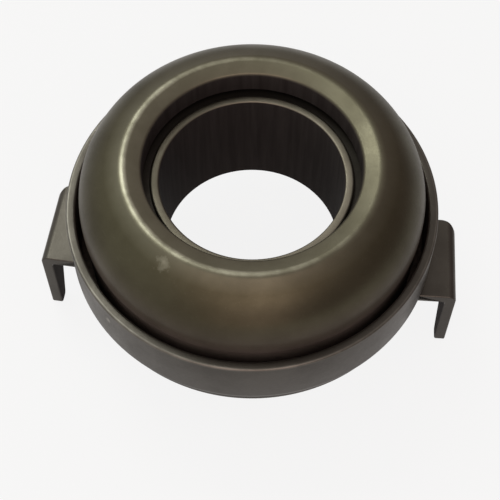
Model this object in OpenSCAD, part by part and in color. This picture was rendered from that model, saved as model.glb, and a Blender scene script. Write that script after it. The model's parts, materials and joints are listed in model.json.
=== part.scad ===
// Self-centring clutch release bearing.
// The origin is on the bore's axis, in the rear face of the fork plate. +Z points to the domed nose,
// the ears stand out along X, and their prongs hang at the -Y end.

/* [Guide sleeve] */
// Bore that slides on the gearbox's guide tube, diameter
bore_d = 33; // [26:0.5:40]
// Wall of the sleeve
sleeve_wall = 1.7; // [1.4:0.1:2.4]
// Height of the sleeve's rim above the snap ring
sleeve_over = 0.9; // [0.8:0.1:3]
// Depth of the countersink that the flared tail fills in the fork plate
tail_depth = 1.1; // [0.8:0.1:1.3]
// How far the flared tail reaches outwards
tail_reach = 1.2; // [0.8:0.1:2]
// Height of the collar that clamps the shell's floor
collar_height = 1; // [0.6:0.1:2]
// How far the collar stands out from the sleeve
collar_reach = 1.3; // [0.6:0.1:1.6]

/* [Fork plate] */
// Sheet thickness of the fork plate
plate_thickness = 2; // [1.4:0.1:3]
// How far the round part of the plate stays inside the shell's outline
plate_inset = 1.3; // [0.4:0.1:4]
// How far an ear stands out past the shell
ear_reach = 5.4; // [4.5:0.1:8]
// How far an ear runs forward of the bore's axis, along -Y
ear_forward = 9; // [7.4:0.2:12]
// How far an ear runs back from the bore's axis, along +Y
ear_rearward = 8; // [6:0.2:12]
// How far an ear's outer edge draws in towards its rear end, degrees
ear_splay = 2.5; // [0:0.5:6]
// Rounding of an ear's rear corner
ear_corner = 2.8; // [1:0.2:4]
// Straight part of the lip below the bend along an ear's outer edge
ear_lip = 1.8; // [1.2:0.1:2.6]
// Length of a prong below the plate
prong_length = 16; // [10:0.2:18]
// Width of a prong at its root, along Y
prong_root = 7; // [5:0.2:9]
// Rounding between a prong and the lip beside it
prong_root_round = 1.2; // [0.6:0.2:2]
// Width of a prong at its tip, along Y
prong_tip = 2.6; // [2:0.2:4]
// Inner radius of the bend along an ear's outer edge
prong_bend = 0.6; // [0.3:0.1:1]
// Outer radius of that bend, coined in the press
bend_outer = 1.5; // [1:0.1:1.9]

/* [Housing shell] */
// Sheet thickness of the shell
shell_wall = 1.7; // [1.2:0.1:2.2]
// Height of the shell, from its underside to its rim
shell_height = 12.9; // [11:0.1:15]
// Inner radius of the bend between wall and floor
shell_bend = 0.9; // [0.5:0.1:1.6]

/* [Contact ring] */
// Wall behind the outer race
outer_wall = 1.7; // [1.6:0.05:3]
// Step from the skirt out to the dome's base edge
dome_step = 0.4; // [0.3:0.1:0.6]
// Height of the dome's base edge above the shell's rim
dome_lift = 0.8; // [0.3:0.1:1.2]
// Rounding of the dome
dome_round = 10; // [8:0.5:13]
// Slope from the crest down to the dome's shoulder, degrees
dome_slope = 24; // [20:1:28]
// Width of the land between the mouth and the crest that the clutch fingers press on
land_width = 3.4; // [2.4:0.1:4.2]
// How far the mouth's edge lies below the crest
mouth_drop = 1; // [0.6:0.1:1.6]
// Rounding of the crest
crest_round = 0.9; // [0.5:0.1:2]
// Rounding of the mouth's edge
mouth_round = 0.4; // [0.3:0.1:0.8]
// Thickness of the nose under the crest
nose_thickness = 5.4; // [4.6:0.1:6.6]
// Rounding inside the nose
nose_fillet = 1; // [0.6:0.1:1.6]

/* [Inner ring] */
// Wall behind the inner race
inner_wall = 2.6; // [2.2:0.1:4]
// Height of the inner ring above the front seal
ring_over = 0.7; // [0.6:0.05:1.4]

/* [Ball set] */
// Diameter of a ball
ball_d = 7.144; // [6.35:0.001:7.938]
// Number of balls
ball_count = 15; // [12:1:15]
// Gap between a ball and the bottom of each race
ball_play = 0.05; // [0.03:0.01:0.08]
// Groove radius of the races as a share of the ball diameter
race_curve = 0.52; // [0.515:0.005:0.53]
// Depth of a race below its high shoulder
high_shoulder = 2.1; // [1.7:0.1:2.3]
// Depth of a race below its low shoulder
low_shoulder = 0.5; // [0.4:0.1:0.7]
// Web of the cage behind a pocket
cage_web = 0.9; // [0.5:0.1:1.4]
// How far the pocket's lips reach past the ball centres
cage_lip = 1.4; // [0.8:0.1:1.8]

/* [Spring and snap ring] */
// Height of the wave spring as fitted
spring_height = 1.6; // [1.3:0.1:2.6]
// Sheet thickness of the wave spring
spring_sheet = 0.5; // [0.3:0.1:0.7]
// Radial width of the wave spring
spring_width = 2.3; // [1.6:0.1:2.4]
// Number of waves
spring_waves = 4; // [3:1:5]
// Thickness of the snap ring
snap_thickness = 1; // [0.8:0.1:1.6]
// Radial width of the snap ring
snap_width = 3; // [2.4:0.1:3.6]
// Depth of the snap ring's groove in the sleeve
snap_seat = 0.6; // [0.4:0.1:0.8]
// Opening between the snap ring's ends
snap_opening = 7; // [4:0.5:12]

/* [Seals] */
// Thickness of a seal's bead in its seat
seal_bead = 1; // [0.8:0.1:1.4]
// Thickness of a seal's web
seal_web = 0.6; // [0.4:0.1:0.7]
// Depth of the seats that hold the seals
seal_seat = 0.7; // [0.5:0.1:0.9]
// Width of a seal's thick lip
lip_width = 1; // [0.8:0.1:1.4]
// Wall of the contact ring behind the rear seal
seat_wall = 2; // [0.8:0.1:3]

/* [Clearances] */
// Largest sideways float of the bearing, along X and along Y
float_range = 0.6; // [0.3:0.1:0.8]
// Gap left round the sleeve when both floats are at their ends
float_spare = 0.15; // [0.1:0.05:0.3]
// Gap between the sleeve and the mouth
mouth_gap = 1.1; // [1:0.1:2]
// Gap between the contact ring's skirt and the shell's wall
running_gap = 1.5; // [1.4:0.1:2.4]
// Gap between the contact ring's skirt and the shell's floor
skirt_gap = 1; // [0.7:0.1:1.6]
// Gap between the snap ring and the nose above it
nose_gap = 1; // [0.6:0.1:1.6]
// Gap between a seal and the balls or cage beside it
seal_gap = 0.7; // [0.45:0.05:1]
// Gap between a seal's lip and the inner ring
lip_play = 0.1; // [0.06:0.02:0.16]
// Gap between the cage and the shoulders beside it
cage_gap = 0.3; // [0.2:0.05:0.4]
// Gap between a ball and its pocket
pocket_play = 0.12; // [0.08:0.02:0.16]
// Gap between the wave spring and the faces that it presses on
spring_play = 0.05; // [0.03:0.01:0.08]
// Play of the snap ring in its groove
snap_play = 0.05; // [0.03:0.01:0.08]

/* [Hidden] */
$fn = 96;
// Rounding of small edges
edge = 0.35;
// Rounding of the sleeve's rim
rim_edge = 0.55;
// How far a cutting shape reaches past the surface it cuts
past = 1;
// Rounding of a prong's tip as a share of the tip's width
tip_share = 0.4;
// Most of the slope below the crest that the dome's rounding may take up
slope_share = 0.75;
// Facets in one wave of the spring
wave_facets = 24;

// Radii from the bore outwards
bore_r = bore_d / 2;
sleeve_r = bore_r + sleeve_wall;
collar_r = sleeve_r + collar_reach;
tail_r = sleeve_r + tail_reach;
// The sideways float in a corner, where both slides are at their ends
float_corner = float_range * sqrt(2) + float_spare;
ring_bore_r = sleeve_r + float_corner;
counterbore_r = collar_r + float_corner;
inner_race_r = ring_bore_r + inner_wall;
ball_r = ball_d / 2;
pitch_r = inner_race_r + ball_play + ball_r;
outer_race_r = pitch_r + ball_r + ball_play;
race_r = race_curve * ball_d;
inner_high_r = inner_race_r + high_shoulder;
inner_low_r = inner_race_r + low_shoulder;
outer_high_r = outer_race_r - high_shoulder;
outer_low_r = outer_race_r - low_shoulder;
cage_inner_r = inner_high_r + cage_gap;
cage_outer_r = outer_high_r - cage_gap;
pocket_r = ball_r + pocket_play;
front_seat_r = outer_high_r + seal_seat;
rear_seat_r = outer_low_r + seal_seat;
skirt_r = outer_race_r + outer_wall;
dome_r = skirt_r + dome_step;
mouth_r = sleeve_r + mouth_gap;
crest_r = mouth_r + land_width;
spring_inner_r = sleeve_r + float_range + 2 * float_spare;
snap_seat_r = sleeve_r - snap_seat;
snap_outer_r = snap_seat_r + snap_width;
shell_inner_r = skirt_r + running_gap;
shell_r = shell_inner_r + shell_wall;
plate_r = shell_r - plate_inset;
ear_x = shell_r + ear_reach;

// Heights from the fork plate up to the nose
floor_z = plate_thickness + shell_wall;
collar_z = floor_z + collar_height;
counterbore_z = collar_z + edge;
skirt_z = floor_z + skirt_gap;
rear_seat_z = skirt_z + seat_wall;
cage_rear_z = rear_seat_z + seal_bead + seal_gap;
ball_z = cage_rear_z + cage_web + pocket_r;
front_seat_z = ball_z + ball_r + seal_gap;
ring_top_z = front_seat_z + seal_bead + ring_over;
spring_z = ring_top_z + spring_play;
snap_z = spring_z + spring_height + spring_play;
snap_top_z = snap_z + snap_thickness;
sleeve_rim_z = snap_top_z + sleeve_over;
nose_inner_z = snap_top_z + nose_gap;
crest_z = nose_inner_z + nose_thickness;
shell_rim_z = plate_thickness + shell_height;
dome_base_z = shell_rim_z + dome_lift;
shoulder_z = crest_z - (dome_r - crest_r) * tan(dome_slope);

// The dome's rounding ends above its base edge and before the crest
dome_turn = 90 - dome_slope;
dome_rise = shoulder_z - dome_base_z - edge;
dome_run = slope_share * (dome_r - crest_r) / cos(dome_slope);
dome_fillet = min(dome_round, min(dome_rise, dome_run) / tan(dome_turn / 2));

ear_front = -ear_forward;
ear_back = ear_rearward;
tip_round = tip_share * prong_tip;

function ball_name(i) = str("ball_", i < 10 ? "0" : "", i);

steel_dark = [0.33, 0.31, 0.27];
steel_brown = [0.27, 0.25, 0.22];
steel_bright = [0.72, 0.73, 0.74];
spring_steel = [0.45, 0.43, 0.40];
cage_plastic = [0.30, 0.22, 0.14];
seal_rubber = [0.08, 0.08, 0.08];

function unit(v) = v / norm(v);

// Half of the angle between the two sides that meet at corner b
function half_angle(a, b, c) = acos(unit(a - b) * unit(c - b)) / 2;

// The tangent points of a corner's arc, or the corner itself where its radius is 0
function corner_points(a, b, c, radius) =
    radius == 0 ? [b] :
    let (run = radius / tan(half_angle(a, b, c)))
    [b + unit(a - b) * run, b + unit(c - b) * run];

// The disc of a corner's arc, cut to the triangle between the corner and its tangent points
module corner_segment(a, b, c, radius) {
    ends = corner_points(a, b, c, radius);
    centre = b + unit(unit(a - b) + unit(c - b)) * radius / sin(half_angle(a, b, c));
    intersection() {
        translate(centre) circle(r = radius);
        polygon([ends[0], b, ends[1]]);
    }
}

// A closed outline with rounded corners, listed counterclockwise as [x, y, radius]
module rounded_outline(corners) {
    count = len(corners);
    points = [for (k = corners) [k.x, k.y]];
    function before(i) = points[(i + count - 1) % count];
    function after(i) = points[(i + 1) % count];
    function turn(i) = cross(points[i] - before(i), after(i) - points[i]);
    difference() {
        union() {
            polygon([for (i = [0 : count - 1]) each
                corner_points(before(i), points[i], after(i), corners[i][2])]);
            for (i = [0 : count - 1])
                if (corners[i][2] > 0 && turn(i) > 0)
                    corner_segment(before(i), points[i], after(i), corners[i][2]);
        }
        for (i = [0 : count - 1])
            if (corners[i][2] > 0 && turn(i) < 0)
                corner_segment(before(i), points[i], after(i), corners[i][2]);
    }
}

// Turned tube with a collar in front of the shell's floor and its tail flared flush into the fork plate
module guide_sleeve() {
    color(steel_dark)
    rotate_extrude()
    difference() {
        rounded_outline([
            [bore_r, 0, edge],
            [tail_r, 0, 0],
            [sleeve_r, tail_depth, 0],
            [sleeve_r, floor_z, 0],
            [collar_r, floor_z, 0],
            [collar_r, collar_z, edge],
            [sleeve_r, collar_z, 0],
            [sleeve_r, sleeve_rim_z, rim_edge],
            [bore_r, sleeve_rim_z, rim_edge],
        ]);
        translate([snap_seat_r, snap_z - snap_play])
            square([snap_seat + past, snap_thickness + 2 * snap_play]);
    }
}

// An ear seen along Z, with its rear corner rounded, on the +X side
module ear_plan() {
    rounded_outline([
        [0, ear_front, 0],
        [ear_x, ear_front, 0],
        [ear_x, ear_back, ear_corner],
        [0, ear_back, 0],
    ]);
}

// An ear seen along X: a short lip along its outer edge, and the prong that tapers down at its front end
module ear_side() {
    lip_z = plate_thickness - bend_outer - ear_lip;
    rounded_outline([
        [ear_front, -prong_length, tip_round],
        [ear_front + prong_tip, -prong_length, tip_round],
        [ear_front + prong_root, lip_z, prong_root_round],
        [ear_back, lip_z, 0],
        [ear_back, plate_thickness, 0],
        [ear_front, plate_thickness, 0],
    ]);
}

// An ear seen along Y: the sheet runs outwards and is bent down at its outer edge
module ear_section() {
    rounded_outline([
        [sleeve_r, 0, 0],
        [ear_x - plate_thickness, 0, prong_bend],
        [ear_x - plate_thickness, -prong_length, 0],
        [ear_x, -prong_length, 0],
        [ear_x, plate_thickness, bend_outer],
        [sleeve_r, plate_thickness, 0],
    ]);
}

// One ear with its bent edge and prong, on the +X side, turned about its front outer corner
module ear() {
    translate([ear_x, ear_front, 0])
    rotate([0, 0, ear_splay])
    translate([-ear_x, -ear_front, 0])
    intersection() {
        translate([0, 0, -prong_length]) linear_extrude(prong_length + plate_thickness) ear_plan();
        rotate([90, 0, 90]) linear_extrude(ear_x) ear_side();
        translate([0, ear_back, 0]) rotate([90, 0, 0]) linear_extrude(ear_back - ear_front) ear_section();
    }
}

// Stamped plate that the clutch fork pushes on, with a prong bent down from each ear
module fork_plate() {
    color(steel_brown)
    difference() {
        union() {
            cylinder(r = plate_r, h = plate_thickness);
            ear();
            mirror([1, 0, 0]) ear();
        }
        translate([0, 0, -past]) cylinder(r = sleeve_r, h = plate_thickness + 2 * past);
        cylinder(r1 = tail_r, r2 = sleeve_r, h = tail_depth);
    }
}

// Pressed cup that stands round the contact ring
module housing_shell() {
    color(steel_brown)
    rotate_extrude()
    rounded_outline([
        [sleeve_r, plate_thickness, 0],
        [shell_r, plate_thickness, shell_bend + shell_wall],
        [shell_r, shell_rim_z, edge],
        [shell_inner_r, shell_rim_z, edge],
        [shell_inner_r, floor_z, shell_bend],
        [sleeve_r, floor_z, 0],
    ]);
}

// Outer ring of the bearing: domed nose, skirt, outer race and the seats of both seals
module contact_ring() {
    front_seat_top = front_seat_z + seal_bead;
    rear_seat_top = rear_seat_z + seal_bead;
    color(steel_dark)
    rotate_extrude()
    difference() {
        rounded_outline([
            [outer_low_r, skirt_z, 0],
            [skirt_r, skirt_z, edge],
            [skirt_r, dome_base_z, 0],
            [dome_r, dome_base_z, edge],
            [dome_r, shoulder_z, dome_fillet],
            [crest_r, crest_z, crest_round],
            [mouth_r, crest_z - mouth_drop, mouth_round],
            [mouth_r, nose_inner_z, edge],
            [outer_high_r, nose_inner_z, nose_fillet],
            [outer_high_r, front_seat_top, 0],
            [front_seat_r, front_seat_top, 0],
            [front_seat_r, front_seat_z, 0],
            [outer_high_r, front_seat_z, 0],
            [outer_high_r, ball_z, 0],
            [outer_low_r, ball_z, 0],
            [outer_low_r, rear_seat_top, 0],
            [rear_seat_r, rear_seat_top, 0],
            [rear_seat_r, rear_seat_z, 0],
            [outer_low_r, rear_seat_z, 0],
        ]);
        translate([outer_race_r - race_r, ball_z]) circle(r = race_r);
    }
}

// Standing ring with the inner race, free to float sideways on the shell's floor
module inner_ring() {
    color(steel_bright)
    rotate_extrude()
    difference() {
        rounded_outline([
            [counterbore_r, floor_z, 0],
            [inner_high_r, floor_z, edge],
            [inner_high_r, ball_z, 0],
            [inner_low_r, ball_z, 0],
            [inner_low_r, ring_top_z, edge],
            [ring_bore_r, ring_top_z, edge],
            [ring_bore_r, counterbore_z, 0],
            [counterbore_r, counterbore_z, 0],
        ]);
        translate([inner_race_r + race_r, ball_z]) circle(r = race_r);
    }
}

// Places its children at ball i, counted counterclockwise from +Y
module at_ball(i) {
    rotate([0, 0, (i - 1) * 360 / ball_count])
    translate([0, pitch_r, ball_z])
    children();
}

module ball(i) {
    color(steel_bright) at_ball(i) sphere(r = ball_r);
}

// Moulded crown cage: a ring with one open pocket for each ball
module ball_cage() {
    color(cage_plastic)
    difference() {
        rotate_extrude()
        rounded_outline([
            [cage_inner_r, cage_rear_z, edge],
            [cage_outer_r, cage_rear_z, edge],
            [cage_outer_r, ball_z + cage_lip, edge],
            [cage_inner_r, ball_z + cage_lip, edge],
        ]);
        for (i = [1 : ball_count])
            at_ball(i) sphere(r = pocket_r);
    }
}

// Lip seal that fills its seat at seat_r and runs inwards to a lip just clear of land_r
module lip_seal(seat_r, seat_z, land_r) {
    lip_r = land_r + lip_play;
    bead_r = seat_r - seal_seat;
    web_z = seat_z + (seal_bead - seal_web) / 2;
    color(seal_rubber)
    rotate_extrude()
    rounded_outline([
        [lip_r, seat_z, edge],
        [lip_r + lip_width, web_z, 0],
        [bead_r, web_z, 0],
        [bead_r, seat_z, 0],
        [seat_r, seat_z, 0],
        [seat_r, seat_z + seal_bead, 0],
        [bead_r, seat_z + seal_bead, 0],
        [bead_r, web_z + seal_web, 0],
        [lip_r + lip_width, web_z + seal_web, 0],
        [lip_r, seat_z + seal_bead, edge],
    ]);
}

module front_seal() { lip_seal(front_seat_r, front_seat_z, inner_low_r); }

module rear_seal() { lip_seal(rear_seat_r, rear_seat_z, inner_high_r); }

// Wavy washer that presses the inner ring on the shell's floor
module wave_spring() {
    steps = wave_facets * spring_waves;
    swing = (spring_height - spring_sheet) / 2;
    mid_z = spring_z + spring_height / 2;
    radii = [spring_inner_r, spring_inner_r + spring_width];
    function wave_z(k) = mid_z + swing * sin(360 * spring_waves * k / steps);
    function corner(k, r, side) =
        [r * cos(360 * k / steps), r * sin(360 * k / steps), wave_z(k) + side * spring_sheet / 2];
    points = [for (k = [0 : steps - 1]) each
        [corner(k, radii[0], -1), corner(k, radii[1], -1), corner(k, radii[1], 1), corner(k, radii[0], 1)]];
    faces = [for (k = [0 : steps - 1]) each
        let (here = 4 * k, there = 4 * ((k + 1) % steps))
        [for (s = [0 : 3]) each
            let (t = (s + 1) % 4)
            [[here + s, there + s, there + t], [here + s, there + t, here + t]]]];
    color(spring_steel) polyhedron(points, faces);
}

// Split ring in the sleeve's groove that holds the spring down
module snap_ring() {
    color(spring_steel)
    translate([0, 0, snap_z])
    linear_extrude(snap_thickness)
    difference() {
        circle(r = snap_outer_r);
        circle(r = snap_seat_r);
        translate([-snap_opening / 2, -snap_outer_r - past]) square([snap_opening, snap_outer_r + past]);
    }
}

guide_sleeve();
fork_plate();
housing_shell();
contact_ring();
inner_ring();
ball_cage();
front_seal();
rear_seal();
wave_spring();
snap_ring();
for (i = [1 : ball_count])
    ball(i);
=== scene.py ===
# %% [markdown]
# # A clutch release bearing
# A release bearing slides on a tube round the gearbox's input shaft. The clutch fork pushes it forward,
# and its domed nose presses on the clutch's spring fingers and turns with them. The solids are already
# exact, so in this lesson we redraw the four pieces that show as smooth meshes, give every piece a
# steel, rubber or plastic finish, and light the bearing as in a small photo studio.

# %% Load the frame
import json
import math

import bpy
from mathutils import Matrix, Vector


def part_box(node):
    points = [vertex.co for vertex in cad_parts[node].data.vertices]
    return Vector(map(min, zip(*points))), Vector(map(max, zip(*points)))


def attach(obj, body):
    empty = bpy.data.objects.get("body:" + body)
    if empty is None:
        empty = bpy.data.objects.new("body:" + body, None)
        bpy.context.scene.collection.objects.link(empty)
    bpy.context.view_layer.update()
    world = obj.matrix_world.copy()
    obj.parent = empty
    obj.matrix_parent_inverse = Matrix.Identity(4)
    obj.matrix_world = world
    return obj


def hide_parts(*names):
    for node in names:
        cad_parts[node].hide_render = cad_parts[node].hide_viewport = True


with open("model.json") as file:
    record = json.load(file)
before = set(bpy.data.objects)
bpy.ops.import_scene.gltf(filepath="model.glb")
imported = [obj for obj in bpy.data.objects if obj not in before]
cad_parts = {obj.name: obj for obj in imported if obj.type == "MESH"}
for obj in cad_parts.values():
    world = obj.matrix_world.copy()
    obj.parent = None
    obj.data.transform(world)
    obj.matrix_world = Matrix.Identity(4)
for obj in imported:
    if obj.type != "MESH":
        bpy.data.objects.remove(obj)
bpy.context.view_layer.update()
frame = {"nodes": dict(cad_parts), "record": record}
scene = bpy.context.scene
cad_nodes = frame["nodes"]
print("nodes in the frame:", len(cad_nodes))

# %% [markdown]
# ## Sizes
# Blender works in metres and a turner thinks in millimetres. Every size could be typed, but then our
# pieces would drift from the solids. So radii and heights are measured from the boxes of the frame's
# nodes, and only what a box can't show is typed, such as the depth of a groove or the rounding of an
# edge.

# %% A ruler for the nodes
MM = 0.001


def measured(node):
    """The reach along X, the lowest point and the highest point of a node, in millimetres."""
    low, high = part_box(node)
    return high[0] / MM, low[2] / MM, high[2] / MM


bore_r = frame["record"]["mounts"][0]["dims"]["r_mm"]
sleeve_wall = 1.7
sleeve_r = bore_r + sleeve_wall
broken_edge = 0.35
print(f"bore radius {bore_r}, sleeve radius {sleeve_r:.2f} mm")

# %% [markdown]
# ## Drawing a section
# Every ring in this bearing was turned or pressed round one axis, so each is a cross-section swept
# round that axis. We draw the section like a turner's template: one vertex is the pen, an extrude draws
# a straight line, and a small spin draws a true arc in each rounded corner. Bevelling the corners would
# be quicker, but a bevel's arc isn't quite round where the corner isn't square.

# %% The pen
X = Vector((1, 0, 0))
Y = Vector((0, 1, 0))
Z = Vector((0, 0, 1))


def set_pen(name, point):
    """Starts a mesh of one vertex, in edit mode."""
    bpy.ops.object.select_all(action="DESELECT")
    bpy.ops.mesh.primitive_plane_add(size=MM)
    piece = bpy.context.object
    piece.name = name
    bpy.ops.object.mode_set(mode="EDIT")
    bpy.ops.mesh.merge(type="CENTER")
    bpy.ops.transform.translate(value=point)
    return piece


def draw_line(pen, end):
    """Extrudes the pen along a straight line."""
    bpy.ops.mesh.extrude_region_move(TRANSFORM_OT_translate={"value": end - pen})
    return end


# %% A rounded corner
ARC_ERROR = 0.004 * MM
FEWEST_STEPS = 3


def draw_corner(pen, before, corner, after, radius, axis):
    """Draws up to a rounded corner and spins the pen along its arc."""
    back = (before - corner).normalized()
    ahead = (after - corner).normalized()
    half = back.angle(ahead) / 2
    run = radius / math.tan(half)
    centre = corner + (back + ahead).normalized() * radius / math.sin(half)
    turn = math.pi - 2 * half
    steps = max(FEWEST_STEPS, math.ceil(turn * math.sqrt(radius / (8 * ARC_ERROR))))
    left = ahead.cross(back).dot(axis) < 0
    draw_line(pen, corner + back * run)
    bpy.ops.mesh.spin(steps=steps, angle=turn if left else -turn, center=centre, axis=axis)
    return corner + ahead * run


# %% A whole section
CLOSE = 0.0002 * MM


def draw_section(name, corners, across=X, up=Z, place=Vector((0, 0, 0))):
    """Draws a closed outline of (across, up, rounding) corners in millimetres, the first one sharp."""
    points = [(place + across * corner[0] + up * corner[1]) * MM for corner in corners]
    axis = up.cross(across)
    pen = points[0]
    piece = set_pen(name, pen)
    count = len(corners)
    for i in range(1, count + 1):
        corner = points[i % count]
        radius = corners[i % count][2] * MM
        if radius > 0:
            pen = draw_corner(pen, points[i - 1], corner, points[(i + 1) % count], radius, axis)
        else:
            pen = draw_line(pen, corner)
    bpy.ops.mesh.select_all(action="SELECT")
    bpy.ops.mesh.remove_doubles(threshold=CLOSE)
    return piece


# %% [markdown]
# ## Turning a section
# A spin of a full turn makes the ring. It leaves a seam where the last slice meets the first, and its
# faces can come out inside out, so the doubles are merged and the normals made to point outwards.
# Smooth shading by angle keeps the crisp seats crisp and the dome soft.

# %% The lathe
TURN_STEPS = 192
CRISP = math.radians(32)


def finish_mesh(piece):
    """Closes seams, turns the faces outwards and shades the piece."""
    bpy.ops.mesh.select_all(action="SELECT")
    bpy.ops.mesh.remove_doubles(threshold=CLOSE)
    bpy.ops.mesh.normals_make_consistent(inside=False)
    bpy.ops.object.mode_set(mode="OBJECT")
    bpy.ops.object.shade_smooth_by_angle(angle=CRISP)
    print(piece.name, "faces:", len(piece.data.polygons))


def turn_section(piece):
    """Spins the drawn section round the bearing's axis."""
    bpy.ops.mesh.select_all(action="SELECT")
    bpy.ops.mesh.spin(steps=TURN_STEPS, angle=2 * math.pi, center=(0, 0, 0), axis=Z)
    finish_mesh(piece)


# %% [markdown]
# ## The nose ring
# The domed ring is the bearing's outer ring. The clutch fingers press on the sloping land inside its
# crest, and behind the dome lie the ball race and the seats of two seals. A lattice could bulge a plain
# ring into a dome, but a section keeps every radius true. Use has worn the crest and the mouth's edge
# smooth, so both are rounded more than on the solid.

# %% Sizes of the dome and the mouth
dome_r, skirt_z, _ = measured("contact_ring")
shell_r, shell_base_z, shell_rim_z = measured("housing_shell")
_, snap_base_z, snap_top_z = measured("snap_ring")
skirt_step = 0.4
dome_lift = 0.8
dome_slope = math.radians(24)
dome_round = 10.0
mouth_gap = 1.1
mouth_drop = 1.0
mouth_round = 0.7
land_width = 3.4
crest_round = 2.4
nose_gap = 1.0
nose_thickness = 5.4
nose_fillet = 1.0
skirt_r = dome_r - skirt_step
dome_base_z = shell_rim_z + dome_lift
nose_inner_z = snap_top_z + nose_gap
mouth_r = sleeve_r + mouth_gap
crest_r = mouth_r + land_width
crest_z = nose_inner_z + nose_thickness
mouth_z = crest_z - mouth_drop
shoulder_z = crest_z - (dome_r - crest_r) * math.tan(dome_slope)
print(f"dome radius {dome_r:.2f}, from {dome_base_z:.2f} to {shoulder_z:.2f}, crest at {crest_z:.2f} mm")

# %% [markdown]
# The race's arc doesn't run smoothly into its shoulders, as a rounded corner would. So the corner that
# we draw it with is the point where the tangents at the arc's two ends meet.

# %% Sizes of the ball race and the seal seats
front_seat_r, front_seat_z, front_seat_top = measured("front_seal")
rear_seat_r, rear_seat_z, rear_seat_top = measured("rear_seal")
ball_low, ball_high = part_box("ball_01")
ball_z = (ball_low[2] + ball_high[2]) / 2 / MM
ball_d = (ball_high[2] - ball_low[2]) / MM
race_share = 0.52
race_depth = 2.1
seat_depth = 0.7
race_r = race_share * ball_d
high_r = front_seat_r - seat_depth
low_r = rear_seat_r - seat_depth
race_centre_r = high_r + race_depth - race_r
race_top = math.acos((high_r - race_centre_r) / race_r)
race_bottom = -math.acos((low_r - race_centre_r) / race_r)
race_middle = (race_top + race_bottom) / 2
race_reach = race_r / math.cos((race_top - race_bottom) / 2)
race_corner_r = race_centre_r + race_reach * math.cos(race_middle)
race_corner_z = ball_z + race_reach * math.sin(race_middle)
print(f"ball {ball_d:.2f}, race radius {race_r:.2f}, shoulders at {high_r:.2f} and {low_r:.2f} mm")

# %% Turn the nose ring
nose = draw_section("nose_ring_turned", [
    (low_r, skirt_z, 0),
    (skirt_r, skirt_z, broken_edge),
    (skirt_r, dome_base_z, 0),
    (dome_r, dome_base_z, broken_edge),
    (dome_r, shoulder_z, dome_round),
    (crest_r, crest_z, crest_round),
    (mouth_r, mouth_z, mouth_round),
    (mouth_r, nose_inner_z, broken_edge),
    (high_r, nose_inner_z, nose_fillet),
    (high_r, front_seat_top, 0),
    (front_seat_r, front_seat_top, 0),
    (front_seat_r, front_seat_z, 0),
    (high_r, front_seat_z, 0),
    (high_r, ball_z + race_r * math.sin(race_top), 0),
    (race_corner_r, race_corner_z, race_r),
    (low_r, ball_z + race_r * math.sin(race_bottom), 0),
    (low_r, rear_seat_top, 0),
    (rear_seat_r, rear_seat_top, 0),
    (rear_seat_r, rear_seat_z, 0),
    (low_r, rear_seat_z, 0),
])
turn_section(nose)
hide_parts("contact_ring")
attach(nose, "nose_ring")

# %% [markdown]
# ## The shell
# The shell is a cup, pressed from sheet. Its floor is clamped on the fork plate and its wall stands
# round the nose ring with a narrow running gap. A cylinder with a Solidify modifier would give the
# wall, but not a bend that keeps its thickness. Drawn as a section, the foot has one radius inside and
# a larger one outside, and the trimmed rim stays nearly sharp.

# %% Turn the shell
shell_wall = 1.7
shell_bend = 0.9
floor_z = shell_base_z + shell_wall
shell_inner_r = shell_r - shell_wall
shell = draw_section("shell_pressed", [
    (sleeve_r, shell_base_z, 0),
    (shell_r, shell_base_z, shell_bend + shell_wall),
    (shell_r, shell_rim_z, broken_edge),
    (shell_inner_r, shell_rim_z, broken_edge),
    (shell_inner_r, floor_z, shell_bend),
    (sleeve_r, floor_z, 0),
])
turn_section(shell)
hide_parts("housing_shell")
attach(shell, "carrier")

# %% [markdown]
# ## The guide sleeve
# The sleeve slides on the gearbox's guide tube. Its collar holds the shell's floor, its tail is flared
# flush into the plate, and a groove near its rim takes the snap ring. It could be a tube with loops cut
# into it, but one section holds all of that in a single drawing.

# %% Turn the sleeve
collar_r, tail_z, sleeve_rim_z = measured("guide_sleeve")
tail_reach = 1.2
tail_depth = 1.1
collar_high = 1.0
groove_depth = 0.6
groove_play = 0.05
rim_outer = 0.5
rim_inner = 0.35
tail_r = sleeve_r + tail_reach
groove_r = sleeve_r - groove_depth
groove_base_z = snap_base_z - groove_play
groove_top_z = snap_top_z + groove_play
sleeve = draw_section("sleeve_turned", [
    (tail_r, tail_z, 0),
    (sleeve_r, tail_depth, 0),
    (sleeve_r, floor_z, 0),
    (collar_r, floor_z, 0),
    (collar_r, floor_z + collar_high, broken_edge),
    (sleeve_r, floor_z + collar_high, 0),
    (sleeve_r, groove_base_z, 0),
    (groove_r, groove_base_z, 0),
    (groove_r, groove_top_z, 0),
    (sleeve_r, groove_top_z, 0),
    (sleeve_r, sleeve_rim_z, rim_outer),
    (bore_r, sleeve_rim_z, rim_inner),
    (bore_r, tail_z, broken_edge),
])
turn_section(sleeve)
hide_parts("guide_sleeve")
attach(sleeve, "carrier")

# %% [markdown]
# ## The fork plate
# The plate is stamped from sheet, with an ear on each side whose outer edge is bent down and ends in a
# prong that keeps the fork in place. An ear is easiest to see as three drawings: the sheet with its
# bend from the front, the prong from the side and the rounded corner from above. Each drawing is
# extruded into a block, and what the three blocks share is the ear. Faces that lie in one plane can
# leave slivers in a boolean, so the blocks reach past each other by a spare millimetre, and the one
# from above is shaved by a hair.

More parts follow.
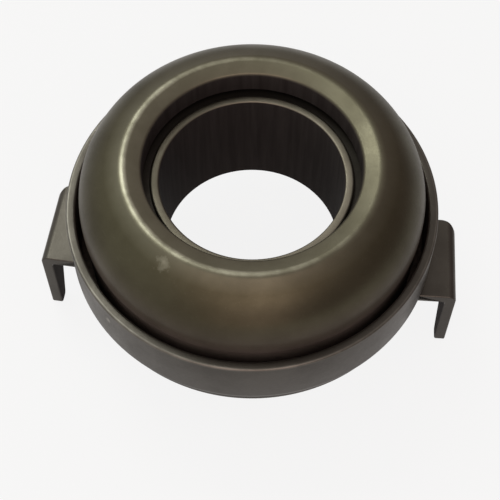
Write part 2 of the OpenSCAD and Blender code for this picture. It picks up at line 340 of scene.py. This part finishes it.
# %% Sizes of an ear
ear_x, prong_z, sheet = measured("fork_plate")
ear_root_x = 25.0
ear_front = -9.0
ear_back = 8.0
ear_splay = math.radians(2.5)
ear_corner = 2.8
bend_inner = 0.6
bend_outer = 1.5
lip_high = 1.8
lip_z = sheet - bend_outer - lip_high
prong_root = 7.0
prong_root_round = 1.2
prong_tip = 2.6
tip_round = 0.4 * prong_tip
spare = 1.0
shave = 0.01
ear_out = Vector((math.cos(ear_splay), math.sin(ear_splay), 0))
ear_along = Vector((-math.sin(ear_splay), math.cos(ear_splay), 0))
ear_home = X * ear_x + Y * ear_front - ear_out * ear_x - ear_along * ear_front
print(f"sheet {sheet:.2f}, ears out to {ear_x:.2f}, prongs down to {prong_z:.2f} mm")

# %% Draw one ear three times


def extrude_section(piece, way):
    """Fills a drawn outline and extrudes it into a block."""
    bpy.ops.mesh.edge_face_add()
    bpy.ops.mesh.extrude_region_move(TRANSFORM_OT_translate={"value": way * MM})
    finish_mesh(piece)


ears = draw_section("ear_from_the_front", [
    (ear_root_x, 0, 0),
    (ear_x - sheet, 0, bend_inner),
    (ear_x - sheet, prong_z - spare, 0),
    (ear_x, prong_z - spare, 0),
    (ear_x, sheet, bend_outer),
    (ear_root_x, sheet, 0),
], across=ear_out, up=Z, place=ear_home + ear_along * (ear_front - spare))
extrude_section(ears, ear_along * (ear_back - ear_front + 2 * spare))
ear_side = draw_section("ear_from_the_side", [
    (ear_front, sheet + spare, 0),
    (ear_front, prong_z, tip_round),
    (ear_front + prong_tip, prong_z, tip_round),
    (ear_front + prong_root, lip_z, prong_root_round),
    (ear_back + spare, lip_z, 0),
    (ear_back + spare, sheet + spare, 0),
], across=ear_along, up=Z, place=ear_home + ear_out * (ear_root_x - spare))
extrude_section(ear_side, ear_out * (ear_x - ear_root_x + 2 * spare))
ear_plan = draw_section("ear_from_above", [
    (ear_root_x - spare, ear_front - spare, 0),
    (ear_x - shave, ear_front - spare, 0),
    (ear_x - shave, ear_back, ear_corner),
    (ear_root_x - spare, ear_back, 0),
], across=ear_out, up=ear_along, place=ear_home + Z * (prong_z - spare))
extrude_section(ear_plan, Z * (sheet - prong_z + 2 * spare))

# %% Keep what the three blocks share, and mirror it


def cut_with(piece, cutter, operation):
    """Joins two solids with a boolean and deletes the second one."""
    modifier = piece.modifiers.new(operation, "BOOLEAN")
    modifier.object = cutter
    modifier.operation = operation
    modifier.solver = "EXACT"
    bpy.context.view_layer.objects.active = piece
    bpy.ops.object.modifier_apply(modifier=modifier.name)
    bpy.data.objects.remove(cutter)


cut_with(ears, ear_side, "INTERSECT")
cut_with(ears, ear_plan, "INTERSECT")
mirror = ears.modifiers.new("other ear", "MIRROR")
mirror.use_mirror_merge = False
bpy.ops.object.modifier_apply(modifier=mirror.name)
print("both ears, faces:", len(ears.data.polygons))

# %% Turn the plate's disc and add the ears
plate_inset = 1.3
plate_r = shell_r - plate_inset
plate = draw_section("plate_stamped", [
    (tail_r, 0, 0),
    (plate_r, 0, 0),
    (plate_r, sheet, 0),
    (sleeve_r, sheet, 0),
    (sleeve_r, tail_depth, 0),
])
turn_section(plate)
cut_with(plate, ears, "UNION")

# %% Soften the stamped edges
stamped_edge = 0.22
soften = plate.modifiers.new("stamped edges", "BEVEL")
soften.width = stamped_edge * MM
soften.segments = 3
soften.limit_method = "ANGLE"
soften.angle_limit = math.radians(40)
soften.use_clamp_overlap = False
bpy.ops.object.modifier_apply(modifier=soften.name)
bpy.ops.object.shade_smooth_by_angle(angle=CRISP)
even = plate.modifiers.new("even shading", "WEIGHTED_NORMAL")
even.keep_sharp = True
bpy.ops.object.modifier_apply(modifier=even.name)
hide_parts("fork_plate")
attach(plate, "carrier")
print("fork plate, faces:", len(plate.data.polygons))

# %% [markdown]
# ## Building blocks for the finishes
# All the steel here shares a few effects: clouds of uneven oxide, the fine rings that a lathe leaves,
# hair scratches, bands that are rubbed bright and carry a painted highlight, and scuffs. They could be
# painted, but a painted picture has only so many pixels. Each effect is a small node group instead,
# which reads a place on the piece and puts out a mask, so a material only has to say what the mask does.

# %% Nodes in one line each


def add_node(tree, kind, settings=None, inputs=None):
    """Adds a shader node, with settings by name and inputs as values or as sockets to link."""
    made = tree.nodes.new(kind)
    for name, value in (settings or {}).items():
        setattr(made, name, value)
    for name, value in (inputs or {}).items():
        if isinstance(value, bpy.types.NodeSocket):
            tree.links.new(value, made.inputs[name])
        else:
            made.inputs[name].default_value = value
    return made


def maths(tree, operation, first, second):
    """One maths node with two inputs."""
    return add_node(tree, "ShaderNodeMath", {"operation": operation}, {0: first, 1: second}).outputs[0]


def remap(tree, value, low, high, to_low=0.0, to_high=1.0):
    """Maps a range of a value to another range, and clamps it."""
    ends = {"Value": value, "From Min": low, "From Max": high, "To Min": to_low, "To Max": to_high}
    return add_node(tree, "ShaderNodeMapRange", None, ends).outputs["Result"]


# %% The start of an effect


def start_group(name, numbers, outputs):
    """A node group that reads a place and some numbers, and puts out masks."""
    group = bpy.data.node_groups.new(name, "ShaderNodeTree")
    group.interface.new_socket("Place", in_out="INPUT", socket_type="NodeSocketVector")
    for label, value in numbers.items():
        socket = group.interface.new_socket(label, in_out="INPUT", socket_type="NodeSocketFloat")
        socket.default_value = value
    for label in outputs:
        group.interface.new_socket(label, in_out="OUTPUT", socket_type="NodeSocketFloat")
    print("effect", name, "puts out", ", ".join(outputs))
    return group, group.nodes.new("NodeGroupInput").outputs, group.nodes.new("NodeGroupOutput").inputs


# %% [markdown]
# ## Oxide clouds
# A phosphate coating never takes evenly: it has soft clouds a centimetre wide and a grain that is
# barely seen. One noise with a lot of detail could give both, but then they would grow and shrink
# together. So the clouds and the grain are two noises, each with a size of its own.

# %% Oxide clouds
CLOUD_RANGE = (0.35, 0.65)
GRAIN_RANGE = (0.3, 0.7)


def noise(tree, place, size, detail):
    """Cloudy noise of a given size, in metres."""
    scale = maths(tree, "DIVIDE", 1.0, size)
    settings = {"Vector": place, "Scale": scale, "Detail": detail, "Roughness": 0.6}
    return add_node(tree, "ShaderNodeTexNoise", None, settings).outputs[0]


clouds_group, given, result = start_group(
    "oxide_clouds", {"Cloud Size": 0.02, "Grain Size": 0.0004}, ["Cloud", "Grain"])
cloud = noise(clouds_group, given["Place"], given["Cloud Size"], 5.0)
grain = noise(clouds_group, given["Place"], given["Grain Size"], 2.0)
clouds_group.links.new(remap(clouds_group, cloud, *CLOUD_RANGE), result["Cloud"])
clouds_group.links.new(remap(clouds_group, grain, *GRAIN_RANGE), result["Grain"])

# %% [markdown]
# ## Lathe rings
# The tool of a lathe leaves rings round the axis. A Wave texture would space them too evenly, so the
# noise here reads only the distance from the axis and the height: it can't change round the ring, and
# is random across.

# %% Lathe rings


def vector_maths(tree, operation, first, second):
    """One vector maths node with two inputs."""
    return add_node(tree, "ShaderNodeVectorMath", {"operation": operation}, {0: first, 1: second}).outputs


def reach_and_height(tree, place):
    """The distance from the bearing's axis and the height of a place."""
    flat = vector_maths(tree, "MULTIPLY", place, (1, 1, 0))["Vector"]
    reach = add_node(tree, "ShaderNodeVectorMath", {"operation": "LENGTH"}, {0: flat}).outputs["Value"]
    return reach, add_node(tree, "ShaderNodeSeparateXYZ", None, {0: place}).outputs["Z"]


rings_group, given, result = start_group("lathe_rings", {"Pitch": 0.0002}, ["Rings"])
reach, height = reach_and_height(rings_group, given["Place"])
track = add_node(rings_group, "ShaderNodeCombineXYZ", None, {0: reach, 1: height}).outputs[0]
rings_group.links.new(noise(rings_group, track, given["Pitch"], 3.0), result["Rings"])

# %% [markdown]
# ## Hair scratches
# Handling leaves thin scratches in all directions. Noise that is squeezed across and left long looks
# like them, so three turned layers of it are laid over each other and only their peaks are kept.

# %% Hair scratches
SCRATCH_TURNS = ((0.2, 0.4, 0.7), (0.9, -0.3, 2.1), (-0.5, 0.8, 3.9))
SCRATCH_PEAKS = (0.70, 0.76)
scratch_group, given, result = start_group(
    "hair_scratches", {"Length": 0.012, "Thinness": 30.0}, ["Scratch"])
thin = given["Thinness"]
stretch = add_node(scratch_group, "ShaderNodeCombineXYZ", None, {0: 1.0, 1: thin, 2: thin}).outputs[0]
layers = []
for turn in SCRATCH_TURNS:
    turned = add_node(scratch_group, "ShaderNodeVectorRotate", {"rotation_type": "EULER_XYZ"}, {
        "Vector": given["Place"], "Rotation": turn,
    })
    streaked = vector_maths(scratch_group, "MULTIPLY", turned.outputs[0], stretch)["Vector"]
    hairs = noise(scratch_group, streaked, given["Length"], 1.0)
    layers.append(remap(scratch_group, hairs, *SCRATCH_PEAKS))
both = maths(scratch_group, "MAXIMUM", layers[0], layers[1])
scratch_group.links.new(maths(scratch_group, "MAXIMUM", both, layers[2]), result["Scratch"])

# %% [markdown]
# ## Rubbed bands and painted highlights
# Steel turns bright where other pieces run on it. On a turned piece that is a band between two radii,
# so the mask needs no edge finding, which depends on how a mesh is divided. The band is patchy. It also
# leans, and the lean is a painted highlight: the band is strongest on the near left side, where the
# light falls, and weaker on the far right, or the other way round with a lean below zero.

# %% Rubbed bands with a painted highlight
# The lean points to the near left, where the painted highlight is brightest.
HIGHLIGHT_WAY = Vector((-0.92, -0.39, 0))
HIGHLIGHT_SPAN = (-20 * MM, 18 * MM)
PATCH_SIZE = 4 * MM
PATCH_RANGE = (0.38, 0.62)
sheen_group, given, result = start_group("rubbed_band_and_sheen", {
    "Inner": 0.0, "Outer": 0.1, "Low": 0.0, "Soft": 0.0003, "Fade": 0.0003, "Patchy": 0.3, "Highlight Lean": 0.0,
}, ["Rub"])
reach, height = reach_and_height(sheen_group, given["Place"])
inner_end = maths(sheen_group, "SUBTRACT", given["Inner"], given["Soft"])
outer_end = maths(sheen_group, "ADD", given["Outer"], given["Fade"])
full_height = maths(sheen_group, "ADD", given["Low"], given["Soft"])
inside = remap(sheen_group, reach, inner_end, given["Inner"])
outside = remap(sheen_group, reach, outer_end, given["Outer"])
above = remap(sheen_group, height, given["Low"], full_height)
faintest = maths(sheen_group, "SUBTRACT", 1.0, given["Patchy"])
patch = noise(sheen_group, given["Place"], PATCH_SIZE, 4.0)
patch = remap(sheen_group, patch, *PATCH_RANGE, faintest, 1.0)
far_side = maths(sheen_group, "SUBTRACT", 1.0, given["Highlight Lean"])
highlight_lean = vector_maths(sheen_group, "DOT_PRODUCT", given["Place"], HIGHLIGHT_WAY)["Value"]
highlight_lean = remap(sheen_group, highlight_lean, *HIGHLIGHT_SPAN, far_side, 1.0)
band = maths(sheen_group, "MULTIPLY", maths(sheen_group, "MULTIPLY", inside, outside), above)
band = maths(sheen_group, "MULTIPLY", band, maths(sheen_group, "MULTIPLY", patch, highlight_lean))
sheen_group.links.new(band, result["Rub"])

# %% [markdown]
# ## Scuffs
# A scuff is the mark of a single knock. A decal would do, but a point and a size are all that a scuff
# needs: the mask is the distance from that point, and a noise makes its edge ragged.

# %% Scuffs
RAGGED_SIZE = 1.2 * MM
RAGGED_RANGE = (0.3, 0.7)
RAGGED_REACH = (0.3, 1.7)
scuff_group, given, result = start_group(
    "scuff", {"X": 0.0, "Y": 0.0, "Z": 0.0, "Size": 0.001}, ["Scuff"])
middle = add_node(scuff_group, "ShaderNodeCombineXYZ", None, {0: given["X"], 1: given["Y"], 2: given["Z"]})
away = vector_maths(scuff_group, "DISTANCE", given["Place"], middle.outputs[0])["Value"]
ragged = noise(scuff_group, given["Place"], RAGGED_SIZE, 3.0)
ragged = remap(scuff_group, ragged, *RAGGED_RANGE, *RAGGED_REACH)
near = remap(scuff_group, away, maths(scuff_group, "MULTIPLY", given["Size"], ragged), 0.0)
scuff_group.links.new(near, result["Scuff"])

# %% [markdown]
# ## Steel
# The steel pieces are phosphated or oiled: a dark, slightly olive and brown satin metal, brighter where
# it has rubbed and where a highlight is painted on. Each piece could have a material of its own making,
# but one function that builds them all keeps the steels alike. It mixes the metal's colour and satin
# first, and painted shade comes on top as a dark matt film.

# %% The start of a finish


def start_finish(name):
    """A new material with its tree, its shader and the place on the object."""
    made = bpy.data.materials.new(name)
    made.use_nodes = True
    tree = made.node_tree
    place = tree.nodes.new("ShaderNodeTexCoord").outputs["Object"]
    return made, tree, tree.nodes["Principled BSDF"], place


def use_group(tree, group, place, numbers):
    """Places a node group in a material."""
    made = tree.nodes.new("ShaderNodeGroup")
    made.node_tree = group
    tree.links.new(place, made.inputs["Place"])
    for name, value in numbers.items():
        made.inputs[name].default_value = value
    return made.outputs


def blend_colours(tree, amount, first, second):
    """Mixes two colours by a mask."""
    mixer = add_node(tree, "ShaderNodeMix", {"data_type": "RGBA"}, {0: amount, 6: first, 7: second})
    return mixer.outputs[2]


# %% Where the steel is rubbed or carries a painted highlight
SCRATCHED = 0.03
SCRATCHES = {"Length": 20 * MM, "Thinness": 40.0}


def rub_and_sheen_mask(tree, place, bands, scuffs):
    """Where the steel is rubbed bare or carries a painted highlight, by bands and scuffs, each with its
    numbers and a strength.
    """
    scratch = use_group(tree, scratch_group, place, SCRATCHES)["Scratch"]
    rub_and_sheen = maths(tree, "MULTIPLY", scratch, SCRATCHED)
    for numbers, strength in bands:
        band = use_group(tree, sheen_group, place, numbers)["Rub"]
        rub_and_sheen = maths(tree, "MAXIMUM", rub_and_sheen, maths(tree, "MULTIPLY", band, strength))
    for numbers, strength in scuffs:
        scuff = use_group(tree, scuff_group, place, numbers)["Scuff"]
        rub_and_sheen = maths(tree, "MAXIMUM", rub_and_sheen, maths(tree, "MULTIPLY", scuff, strength))
    return rub_and_sheen


# %% [markdown]
# ## Painted shade
# The bore, the mouth, the inside of the shell, the backs of the prongs and the foot of the dome lie in
# shade, and that shade is painted on as a dark film. A darker tint isn't enough: under the film the
# surface is matt and no longer metal. A film could be a mesh of its own, but it is too thin to show an
# edge, so it is a mask. It fills what lies inside a radius with streaks of its two colours. It can be
# kept under a height, as behind the prongs, and a dimmer painted shade can be laid under a height
# wherever the steel isn't rubbed.

# %% Where painted shade lies on the steel
# Two pairs of dark colours for painted shade: a deep one for the bore, the mouth and behind the prongs, and
# a dimmer one inside the shell and at the dome's foot.
DEEP_SHADE = ((0.021, 0.0175, 0.017, 1), (0.030, 0.026, 0.025, 1))
DIM_SHADE = ((0.042, 0.034, 0.029, 1), (0.065, 0.053, 0.046, 1))
RUB_CLEARS_SHADE = 2.0


def below(tree, height, level, fade):
    """A mask under a level, in millimetres, which fades out above it."""
    return remap(tree, height, (level + fade) * MM, level * MM)


def shade_masks(tree, place, rub_and_sheen, painted_shade):
    """A mask for painted shade inside a radius, and one for a dimmer painted shade low down if there is
    any.
    """
    reach, height = reach_and_height(tree, place)
    inside = remap(tree, reach, (painted_shade["bore"] + painted_shade["soft"]) * MM, painted_shade["bore"] * MM)
    if "under" in painted_shade:
        inside = maths(tree, "MULTIPLY", inside, below(tree, height, *painted_shade["under"]))
    if "shade_below" not in painted_shade:
        return inside, None
    cleared = maths(tree, "MINIMUM", maths(tree, "MULTIPLY", rub_and_sheen, RUB_CLEARS_SHADE), 1.0)
    left = maths(tree, "SUBTRACT", 1.0, cleared)
    return inside, maths(tree, "MULTIPLY", below(tree, height, *painted_shade["shade_below"]), left)


# %% Lay the painted shade over the colour
STREAK_SIZE = 1.2 * MM
STREAK_RANGE = (0.35, 0.65)
STREAK_LONG = (1.0, 1.0, 0.06)


def lay_shade(tree, place, cloud, rub_and_sheen, colour, painted_shade):
    """Lays painted shade over the metal's colour, and tells how far it covers the metal."""
    covered, low_shaded = shade_masks(tree, place, rub_and_sheen, painted_shade)
    streaked = vector_maths(tree, "MULTIPLY", place, STREAK_LONG)["Vector"]
    streaks = remap(tree, noise(tree, streaked, STREAK_SIZE, 3.0), *STREAK_RANGE)
    skin = blend_colours(tree, streaks, *painted_shade["skin"])
    if low_shaded is None:
        return blend_colours(tree, covered, colour, skin), covered
    colour = blend_colours(tree, low_shaded, colour, blend_colours(tree, cloud, *DIM_SHADE))
    return blend_colours(tree, covered, colour, skin), maths(tree, "MAXIMUM", covered, low_shaded)


# %% The steel finish
OXIDE = {"Cloud Size": 12 * MM, "Grain Size": 0.5 * MM}
SHADE_ROUGH = 0.7
FILM_SHINE = 0.04
SATIN_SPREAD = 0.04
SATIN_GRAIN = 0.05
RING_RELIEF = 0.3
GRAIN_RELIEF = 0.25
BUMP_STRENGTH = 0.25
BUMP_DEPTH = 0.05 * MM


def steel(name, dark, light, bare_and_sheen, rough, pitch=0.3 * MM, bands=(), scuffs=(), painted_shade=None):
    """A satin steel, rubbed bare or painted with a highlight in places, and covered by painted shade in
    others.
    """
    made, tree, shader, place = start_finish(name)
    oxide = use_group(tree, clouds_group, place, OXIDE)
    rings = use_group(tree, rings_group, place, {"Pitch": pitch})
    rub_and_sheen = rub_and_sheen_mask(tree, place, bands, scuffs)
    colour = blend_colours(tree, oxide["Cloud"], (*dark, 1), (*light, 1))
    # Worn bare metal and painted highlights both take the bright colour here.
    colour = blend_colours(tree, rub_and_sheen, colour, (*bare_and_sheen, 1))
    satin = remap(tree, oxide["Cloud"], 0.0, 1.0, rough + SATIN_SPREAD, rough - SATIN_SPREAD)
    satin = maths(tree, "ADD", satin, maths(tree, "MULTIPLY", oxide["Grain"], SATIN_GRAIN))
    shader.inputs["Metallic"].default_value = 1.0
    shader.inputs["Specular IOR Level"].default_value = FILM_SHINE
    # Painted shade goes on last, matt and not metal.
    if painted_shade:
        colour, covered = lay_shade(tree, place, oxide["Cloud"], rub_and_sheen, colour, painted_shade)
        satin = maths(tree, "MAXIMUM", satin, maths(tree, "MULTIPLY", covered, SHADE_ROUGH))
        tree.links.new(maths(tree, "SUBTRACT", 1.0, covered), shader.inputs["Metallic"])
    tree.links.new(colour, shader.inputs["Base Color"])
    tree.links.new(satin, shader.inputs["Roughness"])
    tall = maths(tree, "MULTIPLY", rings["Rings"], RING_RELIEF)
    tall = maths(tree, "ADD", tall, maths(tree, "MULTIPLY", oxide["Grain"], GRAIN_RELIEF))
    relief = {"Height": tall, "Strength": BUMP_STRENGTH, "Distance": BUMP_DEPTH}
    tree.links.new(add_node(tree, "ShaderNodeBump", None, relief).outputs[0], shader.inputs["Normal"])
    return made


# %% [markdown]
# ## Dressing the nose
# The clutch fingers polish the land, so it has a broad rubbed band; its long fade down the dome is a
# painted highlight. Along the crest runs a thin bright line, polish with a painted highlight on it,
# brightest at the near left where the light falls. One scuff sits just outside the crest. Painted shade
# lines the mouth, and a dimmer painted shade darkens the dome towards the running gap.

# %% Dress the nose


def dress(finish, *pieces):
    """Gives pieces one finish."""
    for piece in pieces:
        piece.data.materials.clear()
        piece.data.materials.append(finish)
    print(finish.name, "on", ", ".join(piece.name for piece in pieces))


# The land's band is polish with a painted highlight: a long fade down the dome, leaning to the near left.
land_rub_and_sheen = {
    "Inner": (mouth_r + 0.1) * MM, "Outer": crest_r * MM, "Low": (mouth_z - 6.0) * MM,
    "Soft": 0.4 * MM, "Fade": 3.2 * MM, "Patchy": 0.2, "Highlight Lean": 0.45,
}
# The crest's line is polish with a painted highlight, brightest at the near left.
crest_rub_and_sheen = {
    "Inner": (crest_r - 0.6) * MM, "Outer": crest_r * MM, "Low": mouth_z * MM,
    "Soft": 0.5 * MM, "Fade": 0.6 * MM, "Patchy": 0.5, "Highlight Lean": 0.85,
}
crest_scuff = {"X": -12.4 * MM, "Y": -21.2 * MM, "Z": 27.2 * MM, "Size": 1.5 * MM}
# Painted shade: deep in the mouth, and dimmer down the dome's foot by the running gap.
nose_shade = {"bore": mouth_r + 0.02, "soft": 0.3, "skin": DEEP_SHADE, "shade_below": (dome_base_z + 0.3, 7.0)}
nose_steel = steel(
    "nose_steel", (0.056, 0.049, 0.031), (0.074, 0.066, 0.043), (0.30, 0.285, 0.225), 0.36,
    bands=[(land_rub_and_sheen, 0.28), (crest_rub_and_sheen, 0.85)], scuffs=[(crest_scuff, 0.55)], painted_shade=nose_shade)
dress(nose_steel, nose)

# %% [markdown]
# ## Dressing the shell and the plate
# The shell and the plate are the same sheet steel, so they share its colours and its coarser grain.
# They can't share one material, because their marks and shading differ. The shell's rim is rubbed and
# carries a painted highlight on its outer edge, it has a nick in its wall and one on its rim, and painted
# shade lies inside it. The plate has painted shade behind the prongs.

# %% Dress the shell and the plate
SHEET_DARK = (0.058, 0.052, 0.045)
SHEET_LIGHT = (0.076, 0.069, 0.060)
SHEET_BARE_AND_SHEEN = (0.28, 0.265, 0.235)
SHEET_ROUGH = 0.36
SHEET_PITCH = 0.6 * MM
# The rim's band is wear with a painted highlight along its outer edge.
rim_rub_and_sheen = {
    "Inner": (shell_r - 0.35) * MM, "Outer": shell_r * MM, "Low": (shell_rim_z - 0.45) * MM,
    "Soft": 0.2 * MM, "Fade": 1.0 * MM, "Patchy": 0.5, "Highlight Lean": 0.4,
}
wall_nick = {"X": -22.6 * MM, "Y": -25.3 * MM, "Z": 11.6 * MM, "Size": 0.9 * MM}
rim_nick = {"X": -30.0 * MM, "Y": 12.4 * MM, "Z": 14.9 * MM, "Size": 1.0 * MM}
# Painted shade inside the shell, down in the running gap.
shell_shade = {"bore": shell_inner_r + 0.02, "soft": 0.25, "skin": DIM_SHADE}
shell_steel = steel(
    "shell_steel", SHEET_DARK, SHEET_LIGHT, SHEET_BARE_AND_SHEEN, SHEET_ROUGH, pitch=SHEET_PITCH,
    bands=[(rim_rub_and_sheen, 0.42)], scuffs=[(wall_nick, 1.0), (rim_nick, 0.8)], painted_shade=shell_shade)
dress(shell_steel, shell)
# Painted shade on the inner faces of the prongs, below the sheet.
plate_shade = {"bore": ear_x - 1.0, "soft": 0.2, "skin": DEEP_SHADE, "under": (-1.0, 0.4)}
plate_steel = steel(
    "plate_steel", SHEET_DARK, SHEET_LIGHT, SHEET_BARE_AND_SHEEN, SHEET_ROUGH, pitch=SHEET_PITCH, painted_shade=plate_shade)
dress(plate_steel, plate)

# %% [markdown]
# ## Dressing the sleeve
# The sleeve is a darker steel with painted shade in its bore, and only its rim is rubbed. A plain band
# would be even all round, but the rim's band carries a painted highlight, brightest on the far side, so it
# has a lean below zero.

# %% Dress the sleeve
# The rim's band is wear with a painted highlight, brightest on the far side.
sleeve_rub_and_sheen = {
    "Inner": (bore_r + 0.15) * MM, "Outer": sleeve_r * MM, "Low": (sleeve_rim_z - 0.6) * MM,
    "Soft": 0.25 * MM, "Fade": 0.3 * MM, "Patchy": 0.3, "Highlight Lean": -2.5,
}
# Painted shade in the bore.
sleeve_shade = {"bore": bore_r + 0.04, "soft": 0.1, "skin": DEEP_SHADE}
sleeve_steel = steel(
    "sleeve_steel", (0.050, 0.044, 0.032), (0.064, 0.057, 0.043), (0.20, 0.18, 0.145), 0.40,
    bands=[(sleeve_rub_and_sheen, 0.27)], painted_shade=sleeve_shade)
dress(sleeve_steel, sleeve)

# %% [markdown]
# ## The pieces inside
# Apart from the snap ring's edge in the mouth, nothing shows of the balls, races, cage, seals and
# springs until the bearing is taken apart, but each still gets its own finish. Their solids are fine as
# they are, so they keep their meshes and only change materials.

# %% Dress the steel inside
bearing_steel = steel("bearing_steel", (0.52, 0.52, 0.51), (0.60, 0.60, 0.59), (0.66, 0.66, 0.65), 0.16)
# The spring steel's near black is painted shade: it matches the dark of the mouth, where the snap ring's
# edge shows.
spring_steel = steel("spring_steel", (0.030, 0.027, 0.023), (0.042, 0.037, 0.032), (0.12, 0.11, 0.10), 0.5)
balls = [cad_nodes[name] for name in sorted(cad_nodes) if name.startswith("ball_") and name != "ball_cage"]
dress(bearing_steel, cad_nodes["inner_ring"], *balls)
dress(spring_steel, cad_nodes["wave_spring"], cad_nodes["snap_ring"])

# %% Dress the cage and the seals
MOULD_SPREAD = 0.06


def moulded(name, dark, light, rough, grain_size, grain_height):
    """Rubber or plastic from a mould."""
    made, tree, shader, place = start_finish(name)
    skin = use_group(tree, clouds_group, place, {"Cloud Size": 0.008, "Grain Size": grain_size})
    tree.links.new(blend_colours(tree, skin["Cloud"], (*dark, 1), (*light, 1)), shader.inputs["Base Color"])
    satin = remap(tree, skin["Grain"], 0.0, 1.0, rough - MOULD_SPREAD, rough + MOULD_SPREAD)
    tree.links.new(satin, shader.inputs["Roughness"])
    relief = {"Height": skin["Grain"], "Strength": grain_height, "Distance": BUMP_DEPTH}
    tree.links.new(add_node(tree, "ShaderNodeBump", None, relief).outputs[0], shader.inputs["Normal"])
    return made


cage_plastic = moulded("cage_plastic", (0.20, 0.14, 0.075), (0.27, 0.19, 0.105), 0.5, 0.0006, 0.2)
seal_rubber = moulded("seal_rubber", (0.016, 0.016, 0.017), (0.028, 0.027, 0.026), 0.6, 0.0004, 0.3)
dress(cage_plastic, cad_nodes["ball_cage"])
dress(seal_rubber, cad_nodes["front_seal"], cad_nodes["rear_seal"])

# %% [markdown]
# ## The floor
# The photograph has a pale, almost white ground. Stronger lamps would make any floor white, but they
# would wash out the dark steel too. So the floor glows a little by itself: to the camera it is nearly
# all glow, in the steel's reflections about half, and the rest of it is plain paper that keeps a faint
# shadow.

# %% Lay the floor
FLOOR_REACH = 3.0
PALE = (0.955, 0.955, 0.955, 1)
SHADED = (0.6, 0.6, 0.6, 1)
SEEN_SHARE = 0.9
REFLECTED_SHARE = 0.45
bpy.ops.object.select_all(action="DESELECT")
bpy.ops.mesh.primitive_circle_add(
    vertices=96, radius=FLOOR_REACH, fill_type="NGON", location=(0, 0, prong_z * MM))
floor = bpy.context.object
floor.name = "floor"
bpy.ops.object.transform_apply(location=True)
ground = bpy.data.materials.new("pale_ground")
ground.use_nodes = True
tree = ground.node_tree
tree.nodes.clear()
shaded = add_node(tree, "ShaderNodeBsdfDiffuse", None, {"Color": SHADED})
glow = add_node(tree, "ShaderNodeEmission", None, {"Color": PALE, "Strength": 1.0})
path = tree.nodes.new("ShaderNodeLightPath").outputs
direct = maths(tree, "MAXIMUM", path["Is Camera Ray"], path["Is Transmission Ray"])
direct = maths(tree, "MULTIPLY", direct, SEEN_SHARE)
share = maths(tree, "MAXIMUM", direct, maths(tree, "MULTIPLY", path["Is Glossy Ray"], REFLECTED_SHARE))
paper = add_node(tree, "ShaderNodeMixShader", None, {0: share, 1: shaded.outputs[0], 2: glow.outputs[0]})
ending = tree.nodes.new("ShaderNodeOutputMaterial")
tree.links.new(paper.outputs[0], ending.inputs["Surface"])
dress(ground, floor)

# %% [markdown]
# ## The world
# Satin metal looks like what it reflects, so the room matters as much as the lamps. It is a soft
# gradient, brighter and cooler on the left and dim and warm on the right. The camera itself sees a
# plain pale room.

# %% A soft world, brighter on one side
BRIGHT_SIDE = Vector((-0.85, 0.05, 0.52)).normalized()
DIM = 0.35
BRIGHT = 1.0
WARM = (1.0, 0.83, 0.81, 1)
COOL = (0.98, 1.0, 0.94, 1)
world = bpy.data.worlds.new("studio")
scene.world = world
world.use_nodes = True
tree = world.node_tree
tree.nodes.clear()
way = tree.nodes.new("ShaderNodeTexCoord").outputs["Generated"]
side = remap(tree, vector_maths(tree, "DOT_PRODUCT", way, BRIGHT_SIDE)["Value"], -0.4, 1.0)
tint = blend_colours(tree, side, WARM, COOL)
level = remap(tree, side, 0.0, 1.0, DIM, BRIGHT)
sky = add_node(tree, "ShaderNodeBackground", None, {"Color": tint, "Strength": level})
backdrop = add_node(tree, "ShaderNodeBackground", None, {"Color": PALE, "Strength": 1.0})
path = tree.nodes.new("ShaderNodeLightPath").outputs
direct = maths(tree, "MAXIMUM", path["Is Camera Ray"], path["Is Transmission Ray"])
room = add_node(tree, "ShaderNodeMixShader", None, {0: direct, 1: sky.outputs[0], 2: backdrop.outputs[0]})
ending = tree.nodes.new("ShaderNodeOutputWorld")
tree.links.new(room.outputs[0], ending.inputs["Surface"])
print("world from", DIM, "to", BRIGHT)

# %% [markdown]
# ## The softboxes
# Three soft lamps shape the dome. The key stands behind on the left and lights the land and the left
# ear, and two warm ones in front give the dome its brown glow. Square area lamps do this: their size
# sets how soft the highlight is, which a point lamp can't give.

# %% Softboxes
LAMP_AIM = Vector((0, 0, 0.02))


def softbox(name, place, size, power, colour):
    """A square lamp that faces the bearing."""
    bpy.ops.object.light_add(type="AREA", location=place)
    lamp = bpy.context.object
    lamp.name = name
    lamp.data.shape = "SQUARE"
    lamp.data.size = size
    lamp.data.energy = power
    lamp.data.color = colour
    lamp.rotation_euler = (LAMP_AIM - Vector(place)).to_track_quat("-Z", "Y").to_euler()
    print("lamp", name, power, "W")


softbox("key", (-0.225, 0.265, 0.53), 0.25, 1.08, (0.95, 1.0, 0.92))
softbox("top", (0.03, -0.33, 0.54), 0.50, 1.3, (1.0, 0.80, 0.73))
softbox("front", (0.05, -0.68, 0.22), 0.50, 0.6, (1.0, 0.76, 0.71))

# %% [markdown]
# ## Camera
# The photograph looks down on the bearing at about sixty degrees, a few degrees from the right. It was
# taken from close by, about twenty-three centimetres, so the near side is clearly larger than the far
# one. A longer lens from further away would lose that.

# %% Place the camera
AZIMUTH = math.radians(6.3)
ELEVATION = math.radians(60.0)
DISTANCE = 0.23
AIM = Vector((0.0003, -0.0061, 0.0075))
SENSOR_WIDTH = 36
LENS = 89.5
view_way = Vector((
    math.sin(AZIMUTH) * math.cos(ELEVATION),
    -math.cos(AZIMUTH) * math.cos(ELEVATION),
    math.sin(ELEVATION),
))
bpy.ops.object.camera_add(location=AIM + view_way * DISTANCE)
camera = bpy.context.object
camera.data.sensor_width = SENSOR_WIDTH
camera.data.lens = LENS
camera.rotation_euler = (-view_way).to_track_quat("-Z", "Y").to_euler()
scene.camera = camera
scene.view_settings.view_transform = "Standard"
print("camera at", [round(value, 3) for value in camera.location])
